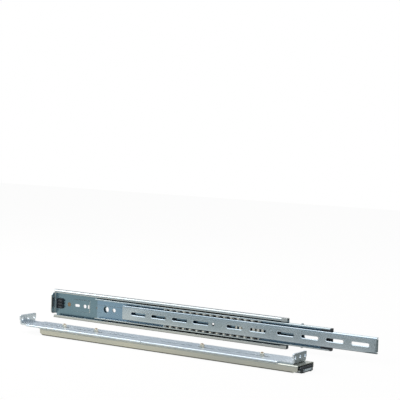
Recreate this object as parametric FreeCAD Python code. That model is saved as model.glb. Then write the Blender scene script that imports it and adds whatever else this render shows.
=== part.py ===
import FreeCAD, Part
import os
from math import cos, pi, sin, tan

# Server rail pair: two three-section ball bearing slides, and the rack brackets of one of them.
# Each slide is drawn in a frame of its own: X runs along it towards the front, Y goes from the
# open face (0) to the back of the outer rail, and Z goes across its height from the middle line.

# Slide, overall
rail_length = 508.0
rail_height = 53.0
slide_depth = 12.7
stage_overlap = 233.0

# Outer rail
outer_sheet = 1.6
outer_set_back = 0.7
outer_front_radius = 4.0
outer_back_radius = 2.5
outer_lip_flat = 1.3
flange_start = 3.0
flange_corner_cut = 5.0
rear_tab_set_in = 7.0
rear_tab_chamfer = 4.0
relief_length = 6.0
relief_width = 3.5
crimp_length = 9.0
crimp_drop = 3.5
crimp_gap = 1.5
outer_pad_start = 47.0
outer_pad_length = 38.0
outer_pad_half_width = 11.5
outer_slot_from_pad = 8.5
outer_slot_length = 11.5
outer_slot_width = 5.0
outer_hole_from_pad = 26.5
outer_hole = 7.0
outer_notch_from_pad = 35.0
outer_notch_length = 3.4
outer_notch_height = 6.6
outer_access_offset = 1.0
outer_access_hole = 9.0
outer_hole_offset = -1.4
outer_peep_offset = -7.0

# Intermediate rail
middle_sheet = 1.4
middle_front_reach = 1.0
middle_set_back = 0.5
middle_front_radius = 1.9
middle_back_radius = 1.8
middle_lip_flat = 0.5
middle_pad_length = 120.0
middle_pad_half_width = 7.0
middle_access_place = 21.0
middle_access_hole = 12.0
middle_hole_place = 39.0
middle_hole = 7.5
middle_peep_offset = -5.3
middle_window_set_back = 38.0
middle_window_length = 27.0
middle_window_width = 11.0
stop_bump_set_back = 55.0
stop_bump_length = 3.0
stop_bump_height = 2.0
stop_bump_start = 6.2
stop_bump_end = 8.8

# Inner rail
inner_sheet = 1.4
inner_front_radius = 3.0
inner_slot_length = 32.0
inner_slot_width = 5.0
slot_countersink = 1.2
slot_countersink_depth = 0.9
rear_slot_place = 35.0
rear_slot_pitch = 44.8
front_slot_count = 4
front_slot_set_back = 29.4
front_slot_pitch = 46.4
middle_slot_count = 2
middle_slot_distance = 54.0
peep_distance = 26.4
peep_room = 63.0
peep_hole = 5.5
inner_tab_depth = 6.4
inner_tab_relief = 4.0
inner_tab_radius = 2.8

# Sheet edges, and pads pressed out of the webs
sheet_edge_radius = 0.3
pad_height = 0.6
pad_bevel = 0.5
pad_recess_margin = 1.0

# Balls, cages and raceways
outer_ball = 6.35
inner_ball = 4.5
outer_race_groove = 0.275
inner_race_groove = 0.35
raceway_clearance = 0.1
outer_ball_depth = 5.9
inner_ball_depth = 4.1
cage_sheet = 0.6
outer_cage_clearance = 0.3
inner_cage_clearance = 0.4
pocket_clearance = 0.15
cage_bridge = 8.0
cage_edge = 3.7
cage_end_room = 24.0
outer_ball_pitch = 14.6
inner_ball_pitch = 14.07
outer_cage_front = 2.7
inner_cage_front = 3.6
finger_width = 3.6
finger_front = 2.3
finger_hook = 0.2

# Places along the slide when it is closed, and how far the upright one is drawn out
inner_rear_gap = 2.4
middle_closed = 22.0
outer_cage_margin = 6.0
inner_cage_margin = 4.0
drawn_out = 82.0

# Rear bumper
bumper_tab_gap = 7.0
bumper_side_gap = 2.5
bumper_front_gap = 4.0
bumper_stop_gap = 0.1
bumper_stem = 6.0
bumper_stem_place = 15.0
bumper_groove = 2.6
bumper_groove_depth = 3.4
bumper_groove_place = 2.2
bumper_groove_count = 4
bumper_rib_pitch = 5.8
bumper_corner_radius = 1.6
bumper_rim_radius = 0.8

# Front guide
guide_plate = 2.0
guide_length = 18.0
guide_clearance = 0.5
guide_lip_gap = 1.0
guide_wall_gap = 0.1

# Release lever
lever_pivot_distance = 27.4
lever_reach = 67.0
lever_height = 9.2
lever_sheet = 2.8
lever_gap = 0.2
lever_window_count = 7
lever_window_start = 13.2
lever_window_length = 4.2
lever_window_pitch = 8.8
lever_window_height = 4.6
rivet_shank = 5.0
rivet_head = 8.0
rivet_head_height = 1.2
rivet_head_gap = 0.1
lever_bore_clearance = 0.05

# Clinch studs and nuts, with each stud's distance from an end of the bracket slot that it is in
first_stud_inset = 11.8
second_stud_inset = 15.4
third_stud_inset = 7.9
fourth_stud_inset = 14.8
stud_shank = 4.0
stud_collar = 5.0
stud_head = 8.0
stud_head_height = 1.0
stud_length = 8.8
stud_chamfer = 0.4
nut_across_flats = 7.0
nut_height = 4.6
nut_bore_clearance = 0.05

# Rack brackets
bracket_sheet = 2.8
bracket_edge_radius = 1.6
bracket_bend_radius = 3.8
bracket_split_gap = 1.0
rear_ear_place = -48.5
rear_tongue_length = 20.0
front_ear_set_back = 9.7
front_tongue_length = 26.1
ear_hole = 5.0
ear_hole_pitch = 15.875
ear_hole_height = 7.2
ear_edge = 4.625
ear_flare = 1.5
ear_height = 14.0
ear_chamfer_height = 4.0
ear_corner_radius = 2.0
bracket_slot_length = 62.0
bracket_slot_width = 5.0
bracket_slot_bridge = 10.4
bracket_slot_room = 12.0
rear_slots_margin = 14.0
front_slots_margin = 26.7

# How the two slides stand
slide_gap = 127.0
right_ahead = 120.5

# How far a cutting shape runs past what it cuts
overrun = 1.0

# What follows from the sizes above: across the slide
outer_half = rail_height / 2
outer_inside = outer_half - outer_sheet
outer_race = outer_ball / 2 + raceway_clearance
middle_half = outer_inside - 2 * (outer_race - outer_race_groove)
outer_ball_height = (outer_inside + middle_half) / 2
middle_inside = middle_half - middle_sheet
inner_race = inner_ball / 2 + raceway_clearance
inner_half = middle_inside - 2 * (inner_race - inner_race_groove)
inner_ball_height = (middle_inside + inner_half) / 2
inner_clear = inner_half - inner_front_radius
outer_lip = outer_front_radius + outer_lip_flat
middle_lip = middle_front_radius + middle_lip_flat

# Through its depth
outer_web = slide_depth - outer_sheet
outer_cage_back = outer_web - outer_cage_clearance
middle_back = outer_cage_back - cage_sheet - outer_cage_clearance
middle_web = middle_back - middle_sheet
middle_pad_face = middle_web - pad_height
inner_cage_back = middle_pad_face - inner_cage_clearance
inner_flange_depth = inner_cage_back - cage_sheet - inner_cage_clearance
through = slide_depth + overrun

# Along it
middle_length = rail_length - middle_closed + middle_front_reach
stage_travel = middle_length - stage_overlap
inner_closed = outer_sheet + inner_rear_gap
outer_cage_closed = middle_closed + stage_travel / 2 + outer_cage_margin
inner_cage_closed = inner_closed + stage_travel / 2 + inner_cage_margin
outer_balls_per_row = int((stage_overlap - cage_end_room) / outer_ball_pitch)
inner_balls_per_row = int((stage_overlap - cage_end_room) / inner_ball_pitch)
outer_cage_length = outer_balls_per_row * outer_ball_pitch
inner_cage_length = inner_balls_per_row * inner_ball_pitch
middle_drawn = middle_closed + drawn_out
inner_drawn = inner_closed + 2 * drawn_out

# The inner rail's mounting slots, in three groups, from its rear end
front_slot_place = rail_length - front_slot_set_back - (front_slot_count - 1) * front_slot_pitch
middle_slot_end = front_slot_place - middle_slot_distance
middle_slot_place = middle_slot_end - (middle_slot_count - 1) * front_slot_pitch
rear_slot_count = 1 + int((middle_slot_place - peep_room - rear_slot_place) / rear_slot_pitch)
peep_place = rear_slot_place + (rear_slot_count - 1) * rear_slot_pitch + peep_distance
lever_pivot = front_slot_place - lever_pivot_distance

# The brackets, with their slots and the studs that stand in them
front_ear_place = rail_length - front_ear_set_back
rear_plate_start = rear_ear_place + rear_tongue_length
front_plate_end = front_ear_place - front_tongue_length
bracket_slot_pitch = bracket_slot_length + bracket_slot_bridge
rear_slots_start = rear_plate_start + rear_slots_margin
front_slots_end = front_plate_end - front_slots_margin
bracket_split = (rear_slots_start + front_slots_end) / 2
slots_per_bracket = int((bracket_split - rear_slots_start - bracket_slot_room) / bracket_slot_pitch)
tongue_half_width = ear_hole_pitch + ear_edge - ear_flare
ear_half_width = ear_hole_pitch + ear_edge
stud_places = [
    rear_slots_start + bracket_slot_length - first_stud_inset,
    rear_slots_start + bracket_slot_pitch + bracket_slot_length - second_stud_inset,
    front_slots_end - bracket_slot_pitch - bracket_slot_length + third_stud_inset,
    front_slots_end - fourth_stud_inset,
]


def point(x, y, z):
    return FreeCAD.Vector(x, y, z)


def box(x0, x1, y0, y1, z0, z1):
    return Part.makeBox(x1 - x0, y1 - y0, z1 - z0, point(x0, y0, z0))


def rod(x, z, diameter, y0, y1):
    """A round bar through the slide's depth."""
    return Part.makeCylinder(diameter / 2, y1 - y0, point(x, y0, z), point(0, 1, 0))


def fuse(shapes):
    return shapes[0].fuse(shapes[1:]).removeSplitter()


def cut(shape, tools):
    return shape.cut(tools).removeSplitter()


def both_sides(shape):
    """The shape, and the same one on the other side of the middle line."""
    return [shape, shape.mirror(point(0, 0, 0), point(0, 0, 1))]


def rounded_face(corners):
    """A flat face with straight sides, whose corners are (place, radius)."""
    starts = []
    ends = []
    middles = []
    count = len(corners)
    for i in range(count):
        here, radius = corners[i]
        to_last = (corners[i - 1][0] - here).normalize()
        to_next = (corners[(i + 1) % count][0] - here).normalize()
        half_turn = to_last.getAngle(to_next) / 2
        way_in = (to_last + to_next).normalize()
        reach = radius / tan(half_turn)
        starts.append(here + to_last * reach)
        ends.append(here + to_next * reach)
        middles.append(here + way_in * (radius / sin(half_turn) - radius))
    edges = []
    for i in range(count):
        if corners[i][1] > 0:
            edges.append(Part.Arc(starts[i], middles[i], ends[i]).toShape())
        following = (i + 1) % count
        if (starts[following] - ends[i]).Length > 0.001:
            edges.append(Part.LineSegment(ends[i], starts[following]).toShape())
    return Part.Face(Part.Wire(edges))


def flipped(corners):
    """The same corners below the middle line, in the opposite order."""
    below = []
    for place, radius in reversed(corners):
        below.append((point(place.x, place.y, -place.z), radius))
    return below


def obround(x, length, width, y0, y1):
    """A slot with round ends along the middle line."""
    straight = (length - width) / 2
    slot = box(x - straight, x + straight, y0, y1, -width / 2, width / 2)
    return fuse([slot, rod(x - straight, 0, width, y0, y1), rod(x + straight, 0, width, y0, y1)])


def races(length, radius, depth, height):
    """The two ball grooves along a rail, as shapes to cut away."""
    groove = Part.makeCylinder(radius, length + 2 * overrun, point(-overrun, depth, height), point(1, 0, 0))
    return both_sides(groove)


def channel(length, front, back, half, sheet, lip, front_radius, back_radius):
    """A rolled channel, open to the front, with a lip turned in along each front edge."""
    edge = sheet_edge_radius
    outside = [
        (point(0, front + sheet, half - lip), edge),
        (point(0, front, half - lip), edge),
        (point(0, front, half), front_radius),
        (point(0, back, half), back_radius),
    ]
    inside = [
        (point(0, back - sheet, half - sheet), max(back_radius - sheet, edge)),
        (point(0, front + sheet, half - sheet), max(front_radius - sheet, edge)),
    ]
    corners = outside + flipped(outside) + flipped(inside) + inside
    return rounded_face(corners).extrude(point(length, 0, 0))


def bent_strip(x, inward, y_face, y_end, half_width, sheet, radius, run):
    """A strip of web with a square bend at x. inward is +1 where the strip runs towards +X."""
    turn = sheet if y_end > y_face else -sheet
    corners = [
        (point(x + inward * run, y_face, -half_width), 0),
        (point(x, y_face, -half_width), radius),
        (point(x, y_end, -half_width), 0),
        (point(x + inward * sheet, y_end, -half_width), 0),
        (point(x + inward * sheet, y_face + turn, -half_width), radius - sheet),
        (point(x + inward * run, y_face + turn, -half_width), 0),
    ]
    return rounded_face(corners).extrude(point(0, 0, 2 * half_width))


def pressed_pad(x0, x1, half_width, face):
    """A shallow pad pressed forward from a web whose front face is at the given depth."""
    pad = box(x0, x1, face - pad_height, face, -half_width, half_width)
    rim = [edge for edge in pad.Edges if edge.BoundBox.YMax < face - pad_height / 2]
    return pad.makeChamfer(pad_bevel, rim)


def pad_recess(x0, x1, half_width, back):
    """The hollow behind a pressed pad."""
    half = half_width - pad_recess_margin
    return box(x0 + pad_recess_margin, x1 - pad_recess_margin, back - pad_height, back + overrun, -half, half)


def outer_rail():
    body = channel(rail_length, outer_set_back, slide_depth, outer_half, outer_sheet,
                   outer_lip, outer_front_radius, outer_back_radius)
    past = outer_half + overrun
    tab_half = outer_half - rear_tab_set_in
    relief_end = tab_half + relief_width
    trims = [
        box(-overrun, flange_start, -overrun, outer_web, -past, past),
        box(-overrun, flange_start, -overrun, through, -tab_half, tab_half),
    ]
    trims += both_sides(box(-overrun, flange_start, -overrun, through, outer_inside, past))
    trims += both_sides(box(-overrun, relief_length, outer_web - overrun, through, tab_half, relief_end))
    trims += races(rail_length, outer_race, outer_ball_depth, outer_ball_height)
    corner_depth = outer_set_back + flange_corner_cut
    corner = [
        (point(-overrun, -overrun, -past), 0),
        (point(flange_start + flange_corner_cut, -overrun, -past), 0),
        (point(flange_start + flange_corner_cut, outer_set_back, -past), 0),
        (point(flange_start, corner_depth, -past), 0),
        (point(-overrun, corner_depth, -past), 0),
    ]
    trims.append(rounded_face(corner).extrude(point(0, 0, 2 * past)))
    crimp_start = rail_length - crimp_length
    crimp_front = outer_set_back + crimp_drop
    wedge = [
        (point(crimp_start, -overrun, -past), 0),
        (point(rail_length + overrun, -overrun, -past), 0),
        (point(rail_length + overrun, crimp_front, -past), 0),
        (point(rail_length, crimp_front, -past), 0),
        (point(crimp_start, outer_set_back, -past), 0),
    ]
    trims.append(rounded_face(wedge).extrude(point(0, 0, 2 * past)))
    body = cut(body, trims)

    rear_tab = bent_strip(0, 1, slide_depth, outer_set_back, tab_half,
                          outer_sheet, outer_back_radius, flange_start)
    free_corners = [edge for edge in rear_tab.Edges
                    if edge.BoundBox.YMax < outer_set_back + 0.01 and edge.Length < outer_sheet + 0.01]
    rear_tab = rear_tab.makeChamfer(rear_tab_chamfer, free_corners)

    low = middle_half + crimp_gap
    crimp_outline = [
        (point(crimp_start, outer_set_back, low), 0),
        (point(rail_length, crimp_front, low), 0),
        (point(rail_length, crimp_front + outer_sheet, low), 0),
        (point(crimp_start, outer_set_back + outer_sheet, low), 0),
    ]
    crimp = rounded_face(crimp_outline).extrude(point(0, 0, outer_half - low))
    pad_end = outer_pad_start + outer_pad_length
    pad = pressed_pad(outer_pad_start, pad_end, outer_pad_half_width, outer_web)
    body = fuse([body, rear_tab, pad] + both_sides(crimp))

    front = outer_web - pad_height - overrun
    access_place = middle_drawn + middle_access_place + outer_access_offset
    notch_end = outer_pad_start + outer_notch_from_pad + outer_notch_length / 2
    holes = [
        pad_recess(outer_pad_start, pad_end, outer_pad_half_width, slide_depth),
        obround(outer_pad_start + outer_slot_from_pad, outer_slot_length, outer_slot_width, front, through),
        rod(outer_pad_start + outer_hole_from_pad, 0, outer_hole, front, through),
        box(notch_end - outer_notch_length, notch_end, front, through,
            -outer_notch_height / 2, outer_notch_height / 2),
        rod(access_place, 0, outer_access_hole, front, through),
        rod(middle_drawn + middle_hole_place + outer_hole_offset, 0, middle_hole, front, through),
        rod(inner_drawn + peep_place + outer_peep_offset, 0, peep_hole, front, through),
        rod(bumper_stem_place, 0, bumper_stem, front, through),
    ]
    for place in stud_places:
        holes.append(rod(place, 0, stud_head, front, outer_web + stud_head_height))
        holes.append(rod(place, 0, stud_collar, front, through))
    return cut(body, holes)


def middle_rail():
    body = channel(middle_length, middle_set_back, middle_back, middle_half, middle_sheet,
                   middle_lip, middle_front_radius, middle_back_radius)
    pad = pressed_pad(0, middle_pad_length, middle_pad_half_width, middle_web)
    bump_end = middle_length - stop_bump_set_back + stop_bump_length / 2
    bump = box(bump_end - stop_bump_length, bump_end, stop_bump_start, stop_bump_end,
               middle_half - middle_sheet / 2, middle_half + stop_bump_height)
    body = fuse([body, pad])
    tools = races(middle_length, outer_race, outer_ball_depth, outer_ball_height)
    tools += races(middle_length, inner_race, inner_ball_depth, inner_ball_height)
    front = middle_pad_face - overrun
    back = middle_back + overrun
    open_end = -pad_recess_margin - overrun
    tools.append(pad_recess(open_end, middle_pad_length, middle_pad_half_width, middle_back))
    tools.append(rod(middle_access_place, 0, middle_access_hole, front, back))
    tools.append(rod(middle_hole_place, 0, middle_hole, front, back))
    peep = inner_drawn - middle_drawn + peep_place + middle_peep_offset
    tools.append(rod(peep, 0, peep_hole, front, back))
    window_place = middle_length - middle_window_set_back
    tools.append(obround(window_place, middle_window_length, middle_window_width, front, back))
    return fuse([cut(body, tools)] + both_sides(bump))


def slot_centres():
    """Where the inner rail's mounting slots are, from its rear end."""
    rear = [rear_slot_place + i * rear_slot_pitch for i in range(rear_slot_count)]
    middle = [middle_slot_place + i * front_slot_pitch for i in range(middle_slot_count)]
    front = [front_slot_place + i * front_slot_pitch for i in range(front_slot_count)]
    return rear + middle + front


def countersunk_slot(x):
    """A slot through the inner rail's web, countersunk from its front."""
    slot = obround(x, inner_slot_length, inner_slot_width, -overrun, inner_sheet + overrun)
    narrow = inner_slot_width / 2
    wide = narrow + slot_countersink * (1 + overrun / slot_countersink_depth)
    straight = (inner_slot_length - inner_slot_width) / 2
    height = slot_countersink_depth + overrun
    ends = [Part.makeCone(wide, narrow, height, point(end, -overrun, 0), point(0, 1, 0))
            for end in (x - straight, x + straight)]
    outline = [
        (point(x - straight, -overrun, -wide), 0),
        (point(x - straight, -overrun, wide), 0),
        (point(x - straight, slot_countersink_depth, narrow), 0),
        (point(x - straight, slot_countersink_depth, -narrow), 0),
    ]
    middle = rounded_face(outline).extrude(point(2 * straight, 0, 0))
    return fuse([slot, middle] + ends)


def inner_rail():
    outside = [
        (point(0, inner_flange_depth, inner_half - inner_sheet), 0),
        (point(0, inner_flange_depth, inner_half), 0),
        (point(0, 0, inner_half), inner_front_radius),
    ]
    inside = [(point(0, inner_sheet, inner_half - inner_sheet), inner_front_radius - inner_sheet)]
    corners = outside + flipped(outside) + flipped(inside) + inside
    body = rounded_face(corners).extrude(point(rail_length, 0, 0))
    tools = races(rail_length, inner_race, inner_ball_depth, inner_ball_height)
    back = inner_sheet + overrun
    tools.append(box(rail_length - inner_tab_relief, rail_length + overrun,
                     -overrun, inner_flange_depth + overrun, -inner_clear, inner_clear))
    for place in slot_centres():
        tools.append(countersunk_slot(place))
    tools.append(rod(peep_place, 0, peep_hole, -overrun, back))
    tools.append(rod(lever_pivot, 0, rivet_shank, -overrun, back))
    tab = bent_strip(rail_length, -1, 0, inner_tab_depth, inner_clear,
                     inner_sheet, inner_tab_radius, inner_tab_relief)
    return fuse([cut(body, tools), tab])


def cage_frame(length, web_back, height, front):
    """A retainer's plain frame: two ball strips, the web's edges behind them and two end bridges."""
    web_front = web_back - cage_sheet
    top = height + cage_sheet / 2
    pieces = both_sides(box(0, length, front, web_back, top - cage_sheet, top))
    pieces += both_sides(box(0, length, web_front, web_back, top - cage_edge, top))
    pieces.append(box(0, cage_bridge, web_front, web_back, -top, top))
    pieces.append(box(length - cage_bridge, length, web_front, web_back, -top, top))
    return fuse(pieces)


def pockets(count, pitch, ball, depth, height, front):
    """The open-fronted pockets for both rows of balls, as shapes to cut away."""
    radius = ball / 2 + pocket_clearance
    tools = []
    for i in range(count):
        x = (i + 0.5) * pitch
        low = height - cage_sheet
        round_end = Part.makeCylinder(radius, 2 * cage_sheet, point(x, depth, low), point(0, 0, 1))
        mouth = box(x - radius, x + radius, front - overrun, depth, low, height + cage_sheet)
        tools += both_sides(fuse([round_end, mouth]))
    return tools


def outer_cage():
    frame = cage_frame(outer_cage_length, outer_cage_back, outer_ball_height, outer_cage_front)
    return cut(frame, pockets(outer_balls_per_row, outer_ball_pitch, outer_ball, outer_ball_depth,
                              outer_ball_height, outer_cage_front))


def inner_cage():
    frame = cage_frame(inner_cage_length, inner_cage_back, inner_ball_height, inner_cage_front)
    frame = cut(frame, pockets(inner_balls_per_row, inner_ball_pitch, inner_ball, inner_ball_depth,
                               inner_ball_height, inner_cage_front))
    fingers = []
    tip_low = inner_half + outer_cage_clearance
    tip_high = middle_half - middle_lip + finger_hook
    for i in range(inner_balls_per_row + 1):
        x0 = max(i * inner_ball_pitch - finger_width / 2, 0)
        x1 = min(i * inner_ball_pitch + finger_width / 2, inner_cage_length)
        arm = box(x0, x1, finger_front, inner_cage_front,
                  inner_ball_height - cage_sheet / 2, inner_ball_height + cage_sheet / 2)
        tip = box(x0, x1, finger_front, finger_front + cage_sheet, tip_low, tip_high)
        fingers += both_sides(arm.fuse(tip))
    return fuse([frame] + fingers)


def balls(count, pitch, ball, depth, height):
    """Both rows of balls of one cage, as separate solids."""
    rows = []
    for i in range(count):
        rows += both_sides(Part.makeSphere(ball / 2, point((i + 0.5) * pitch, depth, height)))
    return Part.Compound(rows)


def rear_bumper():
    half = inner_half - inner_sheet - bumper_side_gap
    start = outer_sheet + bumper_tab_gap
    end = middle_closed - bumper_stop_gap
    face = inner_sheet + bumper_front_gap
    block = box(start, end, face, outer_web, -half, half)
    upright_edges = [edge for edge in block.Edges if edge.BoundBox.YLength > outer_web - face - 0.01]
    block = block.makeFillet(bumper_corner_radius, upright_edges)
    rim = [edge for edge in block.Edges if edge.BoundBox.YMax < face + 0.01]
    block = block.makeFillet(bumper_rim_radius, rim)
    stem = rod(bumper_stem_place, 0, bumper_stem, outer_web - overrun, slide_depth)
    floor = face + bumper_groove_depth
    across = start + bumper_groove_place
    past = half + overrun
    grooves = [box(across, across + bumper_groove, face - overrun, floor, -past, past)]
    for i in range(bumper_groove_count):
        middle = (i - (bumper_groove_count - 1) / 2) * bumper_rib_pitch
        grooves.append(box(across, end + overrun, face - overrun, floor,
                           middle - bumper_groove / 2, middle + bumper_groove / 2))
    return cut(fuse([block, stem]), grooves)


def front_guide():
    outline = [
        (point(middle_length, middle_set_back, middle_half), middle_front_radius),
        (point(middle_length, middle_back, middle_half), middle_back_radius),
    ]
    plate = rounded_face(outline + flipped(outline)).extrude(point(guide_plate, 0, 0))
    inner_room = inner_flange_depth + guide_clearance
    room_half = inner_half + guide_clearance
    start = middle_length - guide_length
    wall_half = middle_inside - guide_wall_gap
    lip_back = middle_set_back + middle_sheet + guide_lip_gap
    body = box(start, middle_length, lip_back, middle_web - guide_wall_gap, -wall_half, wall_half)
    back_edges = [edge for edge in body.Edges
                  if edge.BoundBox.XLength > guide_length / 2 and edge.BoundBox.YMin > inner_room]
    body = body.makeChamfer(sheet_edge_radius, back_edges)
    passage = box(start - overrun, middle_length + guide_plate + overrun, -overrun, inner_room,
                  -room_half, room_half)
    return cut(fuse([plate, body]), [passage])


def release_lever():
    y0 = inner_sheet + lever_gap
    y1 = y0 + lever_sheet
    centre = lever_pivot - lever_reach / 2
    arm = obround(centre, lever_reach + lever_height, lever_height, y0, y1)
    low = y0 - overrun
    high = y1 + overrun
    tools = [rod(lever_pivot, 0, rivet_shank + 2 * lever_bore_clearance, low, high)]
    for i in range(lever_window_count):
        x = lever_pivot - lever_window_start - i * lever_window_pitch
        half = lever_window_length / 2
        tools.append(box(x - half, x + half, low, high, -lever_window_height / 2, lever_window_height / 2))
    return cut(arm, tools)


def lever_rivet():
    neck = inner_sheet + lever_gap + lever_sheet + rivet_head_gap
    shank = rod(lever_pivot, 0, rivet_shank, 0, neck)
    head = rod(lever_pivot, 0, rivet_head, neck, neck + rivet_head_height)
    return fuse([shank, head])


def bracket_studs():
    studs = []
    for place in stud_places:
        head = rod(place, 0, stud_head, outer_web, outer_web + stud_head_height)
        collar = rod(place, 0, stud_collar, outer_web, slide_depth)
        shank = rod(place, 0, stud_shank, outer_web, slide_depth + stud_length)
        end = [edge for edge in shank.Edges if edge.BoundBox.YMin > slide_depth + stud_length / 2]
        shank = shank.makeChamfer(stud_chamfer, end)
        studs.append(fuse([head, collar, shank]))
    return Part.Compound(studs)


def bracket_nuts():
    nuts = []
    seat = slide_depth + bracket_sheet
    corner = nut_across_flats / 2 / cos(pi / 6)
    for place in stud_places:
        corners = []
        for i in range(6):
            angle = i * pi / 3
            corners.append((point(place + corner * cos(angle), seat, corner * sin(angle)), 0))
        body = rounded_face(corners).extrude(point(0, nut_height, 0))
        bore = rod(place, 0, stud_shank + 2 * nut_bore_clearance, seat - overrun, seat + nut_height + overrun)
        nuts.append(cut(body, [bore]))
    return Part.Compound(nuts)


def bracket(plate_start, plate_end, ear_place, inward, slots_start):
    """A slotted plate on the outer rail's back, with a tongue that ends in an upright rack ear.
    inward is +1 for the rear bracket and -1 for the front one."""
    seat = slide_depth
    top = seat + bracket_sheet
    plate = box(plate_start, plate_end, seat, top, -outer_half, outer_half)
    long_edges = [edge for edge in plate.Edges
                  if edge.BoundBox.XLength > bracket_sheet and edge.BoundBox.YMin > (seat + top) / 2]
    plate = plate.makeFillet(bracket_edge_radius, long_edges)
    near_end = plate_start if inward > 0 else plate_end
    run = abs(near_end - ear_place) + overrun
    tongue = bent_strip(ear_place, inward, seat, top + ear_height, ear_half_width,
                        bracket_sheet, bracket_bend_radius, run)
    outer_face = ear_place - overrun * inward
    side_cut = top + ear_chamfer_height
    past = ear_half_width + overrun
    sides = []
    for sign in (-1, 1):
        outline = [
            (point(outer_face, seat - overrun, sign * tongue_half_width), 0),
            (point(outer_face, seat - overrun, sign * past), 0),
            (point(outer_face, side_cut + past - tongue_half_width, sign * past), 0),
            (point(outer_face, side_cut, sign * tongue_half_width), 0),
        ]
        sides.append(rounded_face(outline).extrude(point(inward * (run + 2 * overrun), 0, 0)))
    tongue = cut(tongue, sides)
    corners = [edge for edge in tongue.Edges if edge.BoundBox.YMin > side_cut + ear_flare + overrun
               and edge.BoundBox.XLength > edge.BoundBox.ZLength]
    tongue = tongue.makeFillet(ear_corner_radius, corners)
    tools = []
    hole_start, hole_end = sorted((outer_face, ear_place + (bracket_sheet + overrun) * inward))
    for i in (-1, 0, 1):
        tools.append(Part.makeCylinder(ear_hole / 2, hole_end - hole_start,
                                       point(hole_start, top + ear_hole_height, i * ear_hole_pitch),
                                       point(1, 0, 0)))
    for i in range(slots_per_bracket):
        slot_place = slots_start + i * bracket_slot_pitch + bracket_slot_length / 2
        tools.append(obround(slot_place, bracket_slot_length, bracket_slot_width, seat - overrun, top + overrun))
    return cut(fuse([plate, tongue]), tools)


def slide_pieces(middle_place, inner_place):
    """One slide's pieces, with its moving rails' rear ends at the given places."""
    middle_travel = middle_place - middle_closed
    inner_travel = inner_place - inner_closed - middle_travel
    outer_cage_place = outer_cage_closed + middle_travel / 2
    inner_cage_place = inner_cage_closed + middle_travel + inner_travel / 2
    return {
        "outer_rail": (outer_rail(), 0),
        "rear_bumper": (rear_bumper(), 0),
        "bracket_studs": (bracket_studs(), 0),
        "intermediate_rail": (middle_rail(), middle_place),
        "front_guide": (front_guide(), middle_place),
        "outer_cage": (outer_cage(), outer_cage_place),
        "outer_balls": (balls(outer_balls_per_row, outer_ball_pitch, outer_ball, outer_ball_depth,
                              outer_ball_height), outer_cage_place),
        "inner_cage": (inner_cage(), inner_cage_place),
        "inner_balls": (balls(inner_balls_per_row, inner_ball_pitch, inner_ball, inner_ball_depth,
                              inner_ball_height), inner_cage_place),
        "inner_rail": (inner_rail(), inner_place),
        "release_lever": (release_lever(), inner_place),
        "lever_rivet": (lever_rivet(), inner_place),
    }


total_length = inner_drawn + rail_length
total_width = rail_height + slide_gap + slide_depth + stud_length
left_start = -total_length / 2
right_start = left_start + right_ahead
near_side = -total_width / 2
left_face = near_side + rail_height + slide_gap
upright = FreeCAD.Placement(point(left_start, left_face, outer_half), FreeCAD.Rotation())
lying = FreeCAD.Placement(point(right_start, near_side + outer_half, 0),
                          FreeCAD.Rotation(point(1, 0, 0), 90))


def write(name, shape, place, placement):
    shape = shape.copy()
    shape.translate(point(place, 0, 0))
    shape.Placement = placement.multiply(shape.Placement)
    shape.exportStep("parts/" + name + ".step")


os.makedirs("parts", exist_ok=True)
for name, (shape, place) in slide_pieces(middle_drawn, inner_drawn).items():
    write("left_" + name, shape, place, upright)
for name, (shape, place) in slide_pieces(middle_closed, inner_closed).items():
    write("right_" + name, shape, place, lying)
rear_plate_end = bracket_split - bracket_split_gap / 2
front_plate_start = bracket_split + bracket_split_gap / 2
front_slots_start = front_slots_end - (slots_per_bracket - 1) * bracket_slot_pitch - bracket_slot_length
rear_bracket = bracket(rear_plate_start, rear_plate_end, rear_ear_place, 1, rear_slots_start)
front_bracket = bracket(front_plate_start, front_plate_end, front_ear_place, -1, front_slots_start)
write("right_rear_bracket", rear_bracket, 0, lying)
write("right_front_bracket", front_bracket, 0, lying)
write("right_bracket_nuts", bracket_nuts(), 0, lying)
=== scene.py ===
import bmesh
import bpy
from math import atan2, cos, pi, radians
from mathutils import Matrix, Vector


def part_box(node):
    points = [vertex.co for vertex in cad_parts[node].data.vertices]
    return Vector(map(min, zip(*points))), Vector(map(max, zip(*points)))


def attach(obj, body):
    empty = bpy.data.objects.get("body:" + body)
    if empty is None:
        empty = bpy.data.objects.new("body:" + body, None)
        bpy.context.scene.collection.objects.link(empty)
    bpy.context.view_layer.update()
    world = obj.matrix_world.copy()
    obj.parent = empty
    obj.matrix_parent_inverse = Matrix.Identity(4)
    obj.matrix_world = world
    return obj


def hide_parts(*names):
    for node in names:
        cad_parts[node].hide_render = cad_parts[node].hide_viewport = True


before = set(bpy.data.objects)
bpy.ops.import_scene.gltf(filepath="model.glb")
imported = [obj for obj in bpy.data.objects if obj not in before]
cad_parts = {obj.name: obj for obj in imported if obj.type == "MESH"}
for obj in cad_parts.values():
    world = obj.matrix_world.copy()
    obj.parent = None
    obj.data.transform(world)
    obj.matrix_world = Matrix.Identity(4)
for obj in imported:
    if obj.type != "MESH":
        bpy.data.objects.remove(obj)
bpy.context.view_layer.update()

# The two slides' outer rails are channels, rolled from 1.6 mm steel strip and then zinc plated with
# a faint blue passivate. The strip keeps the fine lines of the rolls along its length. A paler colour
# where the strip is bent and on its lips is a painted reflection, and its paler edges are wear with a
# painted highlight.
rolled_lines_along = 5.0
rolled_lines_across = 420.0
rolled_line_detail = 4.0
cloud_scale = 16.0
cloud_detail = 3.0
clouds_start = 0.35
clouds_full = 0.68
speck_scale = 700.0
speck_share = 0.4
plating_metallic = 0.9
# Faces turned from facing front or back take a paler colour, a painted reflection; these set where it
# starts and where it is full.
flat_until = 0.99
bent_from = 0.90
edge_rounding = 0.0004
edge_samples = 6
# Sharp edges are painted paler, partly as wear and partly as a painted highlight.
edge_starts = 0.995
edge_full = 0.85
edge_wear_and_highlight = 0.8
gloss_change = 0.06
plating_relief = 0.12
plating_relief_depth = 0.00003


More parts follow.
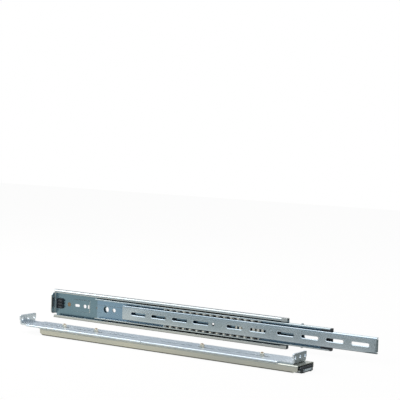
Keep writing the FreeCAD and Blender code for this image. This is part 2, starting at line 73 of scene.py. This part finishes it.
def new_finish(name):
    """A finish to fill in: the material, its node tree and its shader."""
    material = bpy.data.materials.new(name)
    material.use_nodes = True
    return material, material.node_tree, material.node_tree.nodes["Principled BSDF"]


def feed(tree, value, socket):
    """Links an output to a socket, or sets the socket to a colour or a number."""
    if isinstance(value, bpy.types.NodeSocket):
        tree.links.new(value, socket)
    elif isinstance(value, tuple):
        socket.default_value = (*value, 1)
    else:
        socket.default_value = value


def maths(tree, operation, *values):
    """Reckons with numbers and outputs."""
    step = tree.nodes.new("ShaderNodeMath")
    step.operation = operation
    for value, socket in zip(values, step.inputs):
        feed(tree, value, socket)
    return step.outputs["Value"]


def noise(tree, place, scale, detail=2.0):
    """Soft random spots at a place."""
    spots = tree.nodes.new("ShaderNodeTexNoise")
    spots.inputs["Scale"].default_value = scale
    spots.inputs["Detail"].default_value = detail
    tree.links.new(place, spots.inputs["Vector"])
    return spots.outputs["Fac"]


def spread(tree, value, starts, ends, result_starts=0.0, result_ends=1.0):
    """Takes the range of a value to the range of a result."""
    change = tree.nodes.new("ShaderNodeMapRange")
    change.inputs["From Min"].default_value = starts
    change.inputs["From Max"].default_value = ends
    change.inputs["To Min"].default_value = result_starts
    change.inputs["To Max"].default_value = result_ends
    tree.links.new(value, change.inputs["Value"])
    return change.outputs["Result"]


def blend_colours(tree, share, first, second):
    """Goes from the first colour to the second by a share."""
    mix = tree.nodes.new("ShaderNodeMix")
    mix.data_type = "RGBA"
    feed(tree, share, mix.inputs["Factor"])
    feed(tree, first, mix.inputs["A"])
    feed(tree, second, mix.inputs["B"])
    return mix.outputs["Result"]


def eased_edges(tree, radius):
    """The surface's direction, with its sharp edges rounded to a radius."""
    eased = tree.nodes.new("ShaderNodeBevel")
    eased.samples = edge_samples
    eased.inputs["Radius"].default_value = radius
    return eased.outputs["Normal"]


def add_relief(tree, height, strength, depth, direction, shader):
    """Gives the shader a fine relief on top of a direction."""
    relief = tree.nodes.new("ShaderNodeBump")
    relief.inputs["Strength"].default_value = strength
    relief.inputs["Distance"].default_value = depth
    tree.links.new(height, relief.inputs["Height"])
    tree.links.new(direction, relief.inputs["Normal"])
    tree.links.new(relief.outputs["Normal"], shader.inputs["Normal"])


def plated_steel(name, steel, cloud, edge, roughness, edge_radius=edge_rounding, painted_bend_reflection=None, lip_depth=0):
    """Plated strip steel: a base colour with clouds of another, paler edges that are wear with a painted
    highlight, and rolled lines. With a colour for the painted reflection, the surface takes that colour
    where it turns away from facing front or back in the room, and everywhere in front of the lip depth."""
    material, tree, shader = new_finish(name)
    shader.inputs["Metallic"].default_value = plating_metallic
    place = tree.nodes.new("ShaderNodeTexCoord").outputs["Object"]
    direction = tree.nodes.new("ShaderNodeNewGeometry").outputs["Normal"]

    stretch = tree.nodes.new("ShaderNodeMapping")
    stretch.inputs["Scale"].default_value = (rolled_lines_along, rolled_lines_across, rolled_lines_across)
    tree.links.new(place, stretch.inputs["Vector"])
    lines = noise(tree, stretch.outputs["Vector"], 1.0, rolled_line_detail)
    clouds = noise(tree, place, cloud_scale, cloud_detail)
    colour = blend_colours(tree, spread(tree, clouds, clouds_start, clouds_full), steel, cloud)

    # The paler colour on turned faces and on everything in front of the lip depth is a painted reflection.
    if painted_bend_reflection:
        facing = tree.nodes.new("ShaderNodeSeparateXYZ")
        tree.links.new(direction, facing.inputs["Vector"])
        bent = spread(tree, maths(tree, "ABSOLUTE", facing.outputs["Y"]), flat_until, bent_from)
        depth = tree.nodes.new("ShaderNodeSeparateXYZ")
        tree.links.new(place, depth.inputs["Vector"])
        lip = maths(tree, "LESS_THAN", depth.outputs["Y"], lip_depth)
        colour = blend_colours(tree, maths(tree, "MAXIMUM", bent, lip), colour, painted_bend_reflection)

    eased = eased_edges(tree, edge_radius)
    turned_by = tree.nodes.new("ShaderNodeVectorMath")
    turned_by.operation = "DOT_PRODUCT"
    tree.links.new(eased, turned_by.inputs[0])
    tree.links.new(direction, turned_by.inputs[1])
    # Paler sharp edges: wear, and a painted highlight.
    wear_and_highlight = spread(tree, turned_by.outputs["Value"], edge_starts, edge_full, 0.0, edge_wear_and_highlight)
    tree.links.new(blend_colours(tree, wear_and_highlight, colour, edge), shader.inputs["Base Color"])

    gloss = spread(tree, lines, 0.0, 1.0, roughness - gloss_change, roughness + gloss_change)
    tree.links.new(gloss, shader.inputs["Roughness"])
    grain = maths(tree, "MULTIPLY_ADD", noise(tree, place, speck_scale), speck_share, lines)
    add_relief(tree, grain, plating_relief, plating_relief_depth, eased, shader)
    return material


def dress(node, material):
    """Gives a piece of the frame its finish."""
    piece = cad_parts[node]
    piece.data.materials.clear()
    piece.data.materials.append(material)


outer_front, outer_back = (corner[1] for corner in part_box("left_outer_rail"))
# Everything in front of the rails' middle depth takes the paler painted reflection.
lips_until = (outer_front + outer_back) / 2
# The two outer rails are one finish, given two colours as painted reflection: bluer on the upright rail,
# warmer on the flat one.
upright_rail_zinc_painted_blue = plated_steel("upright outer rail, zinc painted bluer as reflection", steel=(0.185, 0.285, 0.35),
                                 cloud=(0.15, 0.25, 0.315), edge=(0.58, 0.62, 0.63), roughness=0.24,
                                 painted_bend_reflection=(0.50, 0.54, 0.55), lip_depth=lips_until)
flat_rail_zinc_painted_warm = plated_steel("flat outer rail, zinc painted warmer as reflection", steel=(0.56, 0.565, 0.50),
                              cloud=(0.51, 0.53, 0.49), edge=(0.80, 0.82, 0.82), roughness=0.30)
dress("left_outer_rail", upright_rail_zinc_painted_blue)
dress("right_outer_rail", flat_rail_zinc_painted_warm)

# The intermediate rails run on balls in the outer ones. They are rolled from the same strip, 1.4 mm
# thick, with a bluer zinc on their webs. Their bent flanges take a paler colour as a painted reflection,
# and so does all of the flat slide's rail, which lies in front of the lip depth.
middle_rail_zinc = plated_steel("intermediate rail, blue zinc", steel=(0.255, 0.38, 0.49),
                                cloud=(0.20, 0.32, 0.45), edge=(0.62, 0.70, 0.78), roughness=0.20,
                                painted_bend_reflection=(0.46, 0.53, 0.56), lip_depth=lips_until)
dress("left_intermediate_rail", middle_rail_zinc)
dress("right_intermediate_rail", middle_rail_zinc)

# The inner rails carry the server and are rolled from 1.4 mm strip too. Their flat fronts are
# handled most, so the plating is greyer there.
inner_rail_zinc = plated_steel("inner rail, grey zinc", steel=(0.50, 0.58, 0.64),
                               cloud=(0.41, 0.50, 0.57), edge=(0.60, 0.64, 0.66), roughness=0.24)
dress("left_inner_rail", inner_rail_zinc)
dress("right_inner_rail", inner_rail_zinc)

# The ball cages are pressed from 0.6 mm steel, with a row of ball pockets along both edges. The
# outer ones are near black. The inner ones are plated and bright.
cage_edge_rounding = 0.0002
outer_cage_steel = plated_steel("near-black cage steel", steel=(0.035, 0.037, 0.037),
                                cloud=(0.022, 0.024, 0.024), edge=(0.07, 0.07, 0.065),
                                roughness=0.42, edge_radius=cage_edge_rounding)
inner_cage_steel = plated_steel("plated cage steel", steel=(0.78, 0.78, 0.74),
                                cloud=(0.66, 0.66, 0.62), edge=(0.88, 0.87, 0.82),
                                roughness=0.34, edge_radius=cage_edge_rounding)
for side in ("left", "right"):
    dress(f"{side}_outer_cage", outer_cage_steel)
    dress(f"{side}_inner_cage", inner_cage_steel)

# The balls are hardened chrome steel, ground and polished, and snapped into the cages' pockets.
# A thin smear of dark grease dulls their gloss in places. Their near-black colour is painted shade,
# for the shade in the pockets between the rails.
grease_scale = 320.0
clean_ball_roughness = 0.08
greased_ball_roughness = 0.35


def oiled_ball(name, colour):
    """Polished hard steel whose gloss changes with the grease on it."""
    material, tree, shader = new_finish(name)
    shader.inputs["Base Color"].default_value = (*colour, 1)
    shader.inputs["Metallic"].default_value = 1.0
    grease = noise(tree, tree.nodes.new("ShaderNodeTexCoord").outputs["Object"], grease_scale)
    gloss = spread(tree, grease, 0.0, 1.0, clean_ball_roughness, greased_ball_roughness)
    tree.links.new(gloss, shader.inputs["Roughness"])
    return material


# Both ball colours are near black as painted shade of the pockets.
outer_ball_steel_painted_shade = oiled_ball("outer ball steel, dark as painted shade", (0.035, 0.034, 0.03))
inner_ball_steel_painted_shade = oiled_ball("inner ball steel, dark as painted shade", (0.045, 0.04, 0.037))
for side in ("left", "right"):
    dress(f"{side}_outer_balls", outer_ball_steel_painted_shade)
    dress(f"{side}_inner_balls", inner_ball_steel_painted_shade)

# The rear bumpers and front guides are moulded in black acetal and pressed into the rails. The
# mould leaves a fine sparked texture, and the plastic shines a little where it is rubbed.
acetal_colour = (0.015, 0.020, 0.026)
rubbed_lightness = 1.9
rubbed_roughness = 0.30
unrubbed_roughness = 0.55
rubbed_scale = 90.0
spark_scale = 1500.0
spark_detail = 3.0
spark_relief = 0.3
spark_depth = 0.00005
black_acetal, acetal_tree, acetal_shader = new_finish("black acetal")
acetal_place = acetal_tree.nodes.new("ShaderNodeTexCoord").outputs["Object"]
rubbed = noise(acetal_tree, acetal_place, rubbed_scale)
rubbed_colour = tuple(rubbed_lightness * channel for channel in acetal_colour)
acetal_tree.links.new(blend_colours(acetal_tree, rubbed, acetal_colour, rubbed_colour),
                      acetal_shader.inputs["Base Color"])
acetal_gloss = spread(acetal_tree, rubbed, 0.0, 1.0, rubbed_roughness, unrubbed_roughness)
acetal_tree.links.new(acetal_gloss, acetal_shader.inputs["Roughness"])
sparks = noise(acetal_tree, acetal_place, spark_scale, spark_detail)
add_relief(acetal_tree, sparks, spark_relief, spark_depth, eased_edges(acetal_tree, edge_rounding),
           acetal_shader)
for side in ("left", "right"):
    dress(f"{side}_rear_bumper", black_acetal)
    dress(f"{side}_front_guide", black_acetal)

# Each release lever is a slotted strip behind the inner rail's web, cut from steel and plated. It
# turns on a rivet that is headed into the web, in the rail's own finish.
for side in ("left", "right"):
    dress(f"{side}_release_lever", inner_cage_steel)
    dress(f"{side}_lever_rivet", inner_rail_zinc)

# The clinch studs are cold headed from steel wire, with a rolled M4 thread and a brown passivate.
# Each head is pressed into the outer rail's web from inside, and the shank stands out of its back.
stud_steps = 40
stud_head_radius = 0.004
stud_head_height = 0.001
stud_head_rim = 0.0002
stud_collar_radius = 0.0025
stud_collar_end = 0.0016
stud_edge_rounding = 0.0002
thread_radius = 0.002
thread_depth = 0.0003
thread_pitch = 0.0007
thread_points_per_turn = 8
thread_chamfer = 0.0004
same_radius_within = 0.00001
same_point_within = 0.000001
gap_between_studs = 0.01


def places_along(node):
    """The middle of each like solid of a node, along X."""
    xs = sorted(vertex.co.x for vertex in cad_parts[node].data.vertices)
    starts = [0] + [i for i in range(1, len(xs)) if xs[i] - xs[i - 1] > gap_between_studs]
    ends = starts[1:] + [len(xs)]
    return [(xs[start] + xs[end - 1]) / 2 for start, end in zip(starts, ends)]


def turn_on_lathe(mesh, outline, steps):
    """Turns an outline of (radius, height) points into a closed round solid about Z."""
    points = [mesh.verts.new((radius, 0, height)) for radius, height in outline]
    edges = [mesh.edges.new(pair) for pair in zip(points, points[1:])]
    bmesh.ops.spin(mesh, geom=points + edges, cent=(0, 0, 0), axis=(0, 0, 1), dvec=(0, 0, 0),
                   angle=2 * pi, steps=steps, use_merge=True, use_duplicate=False)
    bmesh.ops.remove_doubles(mesh, verts=mesh.verts, dist=same_point_within)
    bmesh.ops.recalc_face_normals(mesh, faces=mesh.faces)


def threaded_stud(length):
    """One stud, standing on Z with its head's face at the origin."""
    stud = bmesh.new()
    outline = [
        (0, 0),
        (stud_head_radius - stud_head_rim, 0),
        (stud_head_radius, stud_head_rim),
        (stud_head_radius, stud_head_height),
        (stud_collar_radius, stud_head_height),
        (stud_collar_radius, stud_collar_end),
    ]
    thread_length = length - stud_collar_end - thread_chamfer
    rows = int(thread_length / thread_pitch * thread_points_per_turn)
    outline += [(thread_radius, stud_collar_end + thread_length * i / rows) for i in range(rows + 1)]
    outline += [(thread_radius - thread_chamfer, length), (0, length)]
    turn_on_lathe(stud, outline, stud_steps)
    thread_end = length - thread_chamfer - thread_pitch / 2
    for vertex in stud.verts:
        radius = vertex.co.xy.length
        in_thread = stud_collar_end < vertex.co.z < thread_end
        if in_thread and abs(radius - thread_radius) < same_radius_within:
            turn = vertex.co.z / thread_pitch - vertex.co.xy.angle_signed(Vector((1, 0))) / (2 * pi)
            sunk = thread_depth * abs(2 * (turn % 1) - 1)
            vertex.co.xy *= (radius - sunk) / radius
    return stud


def like_pieces(name, make, length, places, turn):
    """One piece that holds a small part of a length at each place."""
    whole = bpy.data.meshes.new(name)
    together = bmesh.new()
    for place in places:
        small_part = make(length)
        bmesh.ops.rotate(small_part, cent=(0, 0, 0), matrix=turn, verts=small_part.verts)
        bmesh.ops.translate(small_part, vec=place, verts=small_part.verts)
        small_part.to_mesh(whole)
        small_part.free()
        together.from_mesh(whole)
    together.to_mesh(whole)
    together.free()
    piece = bpy.data.objects.new(name, whole)
    bpy.context.collection.objects.link(piece)
    return piece


passivated = plated_steel("brown passivated steel", steel=(0.36, 0.27, 0.18), cloud=(0.28, 0.20, 0.13),
                          edge=(0.60, 0.50, 0.38), roughness=0.40, edge_radius=stud_edge_rounding)
for side in ("left", "right"):
    studs = f"{side}_bracket_studs"
    low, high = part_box(studs)
    if side == "left":
        stud_length = high[1] - low[1]
        turn = Matrix.Rotation(-pi / 2, 3, "X")
        places = [(x, low[1], (low[2] + high[2]) / 2) for x in places_along(studs)]
    else:
        stud_length = high[2] - low[2]
        turn = Matrix.Identity(3)
        places = [(x, (low[1] + high[1]) / 2, low[2]) for x in places_along(studs)]
    piece = like_pieces(f"{side}_threaded_studs", threaded_stud, stud_length, places, turn)
    piece.data.materials.append(passivated)
    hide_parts(studs)
    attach(piece, "outer_rails")

# The nuts that clamp the bracket are M4 hexagon nuts, turned from bar with both faces chamfered and
# zinc plated. Their corners point along the slide.
nut_steps = 72
nut_flat_radius = 0.0035
nut_bore_radius = 0.00205
nut_bore_chamfer = 0.0003
nut_face_radius = 0.0033
nut_chamfer_slope = 0.5
nut_wall_rows = 5
nut_edge_rounding = 0.0002


def hexagon_nut(height):
    """One nut standing on Z from the origin. Its chamfers are cones that cut the corners off."""
    nut = bmesh.new()
    corner_radius = nut_flat_radius / cos(pi / 6)
    chamfer_height = (corner_radius - nut_face_radius) * nut_chamfer_slope
    rises = [chamfer_height * i / nut_wall_rows for i in range(nut_wall_rows + 1)]
    wall = [(corner_radius, rise) for rise in rises]
    wall += [(corner_radius, height - rise) for rise in reversed(rises)]
    outline = [(nut_bore_radius, nut_bore_chamfer), (nut_bore_radius + nut_bore_chamfer, 0)] + wall + [
        (nut_bore_radius + nut_bore_chamfer, height),
        (nut_bore_radius, height - nut_bore_chamfer),
        (nut_bore_radius, nut_bore_chamfer),
    ]
    turn_on_lathe(nut, outline, nut_steps)
    for vertex in nut.verts:
        radius = vertex.co.xy.length
        if radius > corner_radius - same_radius_within:
            from_flat = (atan2(vertex.co.y, vertex.co.x) % (pi / 3)) - pi / 6
            rise = min(vertex.co.z, height - vertex.co.z)
            hexagon = nut_flat_radius / cos(from_flat)
            cone = nut_face_radius + rise / nut_chamfer_slope
            vertex.co.xy *= min(hexagon, cone) / radius
    return nut


nut_zinc = plated_steel("pale zinc nut", steel=(0.78, 0.75, 0.66), cloud=(0.70, 0.66, 0.55),
                        edge=(0.90, 0.88, 0.82), roughness=0.30, edge_radius=nut_edge_rounding)
low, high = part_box("right_bracket_nuts")
nut_places = [(x, (low[1] + high[1]) / 2, low[2]) for x in places_along("right_bracket_nuts")]
nuts = like_pieces("right_hexagon_nuts", hexagon_nut, high[2] - low[2], nut_places, Matrix.Identity(3))
nuts.data.materials.append(nut_zinc)
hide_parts("right_bracket_nuts")
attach(nuts, "outer_rails")

# The rack brackets are blanked and bent from 2.8 mm sheet, slotted so that they slide along the
# studs to suit the rack's depth, and zinc plated a clearer grey than the rails.
bracket_zinc = plated_steel("bracket, clear zinc", steel=(0.70, 0.77, 0.83), cloud=(0.62, 0.70, 0.77),
                            edge=(0.86, 0.90, 0.94), roughness=0.32)
dress("right_rear_bracket", bracket_zinc)
dress("right_front_bracket", bracket_zinc)

# The floor is a plain white sheet that keeps the slides' shadow. To the camera it is white. To the
# metal it glows as a painted reflection, warm white on the left and a dimmer grey on the right,
# where light is painted as falling off.
floor_half = 4.0
bright_floor_until = -0.02
dim_floor_from = 0.12
floor_paper = (0.90, 0.89, 0.87)
bright_floor = (0.90, 0.86, 0.74)
dim_floor = (0.62, 0.61, 0.57)
floor_white_to_camera = 0.94
floor_glow_in_metal = 0.75
sheet = bmesh.new()
bmesh.ops.create_grid(sheet, x_segments=1, y_segments=1, size=floor_half)
floor_mesh = bpy.data.meshes.new("floor")
sheet.to_mesh(floor_mesh)
sheet.free()
floor = bpy.data.objects.new("floor", floor_mesh)
bpy.context.collection.objects.link(floor)
paper = bpy.data.materials.new("white paper")
paper.use_nodes = True
paper_tree = paper.node_tree
paper_tree.nodes.clear()
matt = paper_tree.nodes.new("ShaderNodeBsdfDiffuse")
matt.inputs["Color"].default_value = (*floor_paper, 1)
along = paper_tree.nodes.new("ShaderNodeSeparateXYZ")
paper_place = paper_tree.nodes.new("ShaderNodeTexCoord")
paper_tree.links.new(paper_place.outputs["Object"], along.inputs["Vector"])
# The floor's glow for the metal is a painted reflection, dimming towards the right.
brightness = spread(paper_tree, along.outputs["X"], dim_floor_from, bright_floor_until)
reflected = blend_colours(paper_tree, brightness, dim_floor, bright_floor)
seen_by = paper_tree.nodes.new("ShaderNodeLightPath").outputs
straight = maths(paper_tree, "ADD", seen_by["Is Camera Ray"], seen_by["Is Transmission Ray"])
glow = paper_tree.nodes.new("ShaderNodeEmission")
paper_tree.links.new(blend_colours(paper_tree, straight, reflected, (1.0, 1.0, 1.0)), glow.inputs["Color"])
glow_share = maths(paper_tree, "MULTIPLY_ADD", seen_by["Is Glossy Ray"], floor_glow_in_metal,
                   maths(paper_tree, "MULTIPLY", straight, floor_white_to_camera))
paper_mix = paper_tree.nodes.new("ShaderNodeMixShader")
paper_tree.links.new(glow_share, paper_mix.inputs["Fac"])
paper_tree.links.new(matt.outputs["BSDF"], paper_mix.inputs[1])
paper_tree.links.new(glow.outputs["Emission"], paper_mix.inputs[2])
paper_out = paper_tree.nodes.new("ShaderNodeOutputMaterial")
paper_tree.links.new(paper_mix.outputs["Shader"], paper_out.inputs["Surface"])
floor_mesh.materials.append(paper)

# The room is a white studio with two softboxes, one overhead and one at the left. The room is white
# to the camera and in the metal, and a plain soft light for everything else.
room_light = 0.6
room_white = 1.0
world = bpy.data.worlds.new("studio")
bpy.context.scene.world = world
world.use_nodes = True
room_tree = world.node_tree
room = room_tree.nodes["Background"]
room.inputs["Color"].default_value = (1, 1, 1, 1)
seen_by = room_tree.nodes.new("ShaderNodeLightPath").outputs
camera_or_metal = maths(room_tree, "ADD", seen_by["Is Camera Ray"], seen_by["Is Glossy Ray"])
seen = maths(room_tree, "ADD", camera_or_metal, seen_by["Is Transmission Ray"])
room_tree.links.new(spread(room_tree, seen, 0.0, 1.0, room_light, room_white), room.inputs["Strength"])


def softbox(name, place, target, width, height, power):
    """A large soft lamp at a place, turned to a target."""
    lamp = bpy.data.lights.new(name, "AREA")
    lamp.shape = "RECTANGLE"
    lamp.size = width
    lamp.size_y = height
    lamp.energy = power
    piece = bpy.data.objects.new(name, lamp)
    bpy.context.collection.objects.link(piece)
    piece.location = place
    piece.rotation_euler = (Vector(target) - Vector(place)).to_track_quat("-Z", "Y").to_euler()
    return piece


softbox("overhead softbox", (-1.0, 0.0, 1.6), (-0.4, 0, 0), width=1.8, height=1.3, power=20)
left_softbox = softbox("left softbox", (-1.7, -0.9, 1.0), (0, 0, 0), width=1.0, height=1.0, power=14)
left_softbox.visible_glossy = False

# Cards for the metal alone to reflect: three dim ones stand around the slides, and two bright ones
# hang overhead. On the floor lie the dark shade under each slide and a dim stretch on the right.
just_above_floor = 0.0001


def card(name, colour, strength, middle, width, height, tilt=0):
    """A shining sheet that only reflections show. A tilt of 90 degrees stands it upright."""
    shine = bpy.data.materials.new(name)
    shine.use_nodes = True
    card_nodes = shine.node_tree.nodes
    card_nodes.clear()
    even = card_nodes.new("ShaderNodeEmission")
    even.inputs["Color"].default_value = (*colour, 1)
    even.inputs["Strength"].default_value = strength
    out = card_nodes.new("ShaderNodeOutputMaterial")
    shine.node_tree.links.new(even.outputs["Emission"], out.inputs["Surface"])
    card_sheet = bmesh.new()
    bmesh.ops.create_grid(card_sheet, x_segments=1, y_segments=1, size=0.5)
    bmesh.ops.scale(card_sheet, vec=(width, height, 1), verts=card_sheet.verts)
    bmesh.ops.rotate(card_sheet, matrix=Matrix.Rotation(radians(tilt), 3, "X"), verts=card_sheet.verts)
    bmesh.ops.translate(card_sheet, vec=middle, verts=card_sheet.verts)
    card_mesh = bpy.data.meshes.new(name)
    card_sheet.to_mesh(card_mesh)
    card_sheet.free()
    card_mesh.materials.append(shine)
    piece = bpy.data.objects.new(name, card_mesh)
    bpy.context.collection.objects.link(piece)
    piece.visible_camera = False
    piece.visible_shadow = False
    piece.visible_diffuse = False


card("front card", (0.19, 0.29, 0.345), 1.0, (-1.3, -2.6, 0.9), 4.6, 1.8, tilt=90)
card("back left card", (0.25, 0.28, 0.32), 1.0, (-2.3, 2.2, 0.65), 2.6, 1.3, tilt=90)
card("back right card", (0.07, 0.085, 0.08), 1.0, (2.6, 1.7, 1.2), 4.2, 2.4, tilt=90)
card("overhead card, left", (0.88, 0.96, 1.0), 1.2, (-1.65, -0.1, 1.5), 1.2, 1.4)
card("overhead card, right", (0.97, 0.99, 1.0), 2.4, (-0.25, -0.1, 1.5), 1.6, 1.4)
card("shade under the upright slide", (0.05, 0.05, 0.05), 1.0, (0.0, 0.1008, just_above_floor),
     0.70, 0.0386)
card("shade under the flat slide", (0.10, 0.10, 0.09), 1.0, (0.04, -0.074, just_above_floor),
     0.52, 0.056)
card("dim floor on the right", (0.16, 0.18, 0.165), 1.0, (0.86, 0.50, just_above_floor), 1.1, 1.2)

# The camera stands to the right and well back, a little above the slides, with a long lens. It is
# turned to the left, dips a little and is rolled by two degrees.
camera_place = Vector((1.1918, -1.8075, 0.3679))
camera_yaw = radians(32.504)
camera_dip = radians(3.208)
camera_roll = radians(2.053)
camera_lens = 114.99
camera_sensor_width = 36.0
camera_data = bpy.data.cameras.new("camera")
camera_data.lens = camera_lens
camera_data.sensor_width = camera_sensor_width
camera = bpy.data.objects.new("camera", camera_data)
bpy.context.collection.objects.link(camera)
camera_turn = Matrix.Rotation(camera_yaw, 4, "Z") @ Matrix.Rotation(pi / 2 - camera_dip, 4, "X")
camera.matrix_world = Matrix.Translation(camera_place) @ camera_turn @ Matrix.Rotation(camera_roll, 4, "Z")
bpy.context.scene.camera = camera
bpy.context.scene.view_settings.view_transform = "Standard"
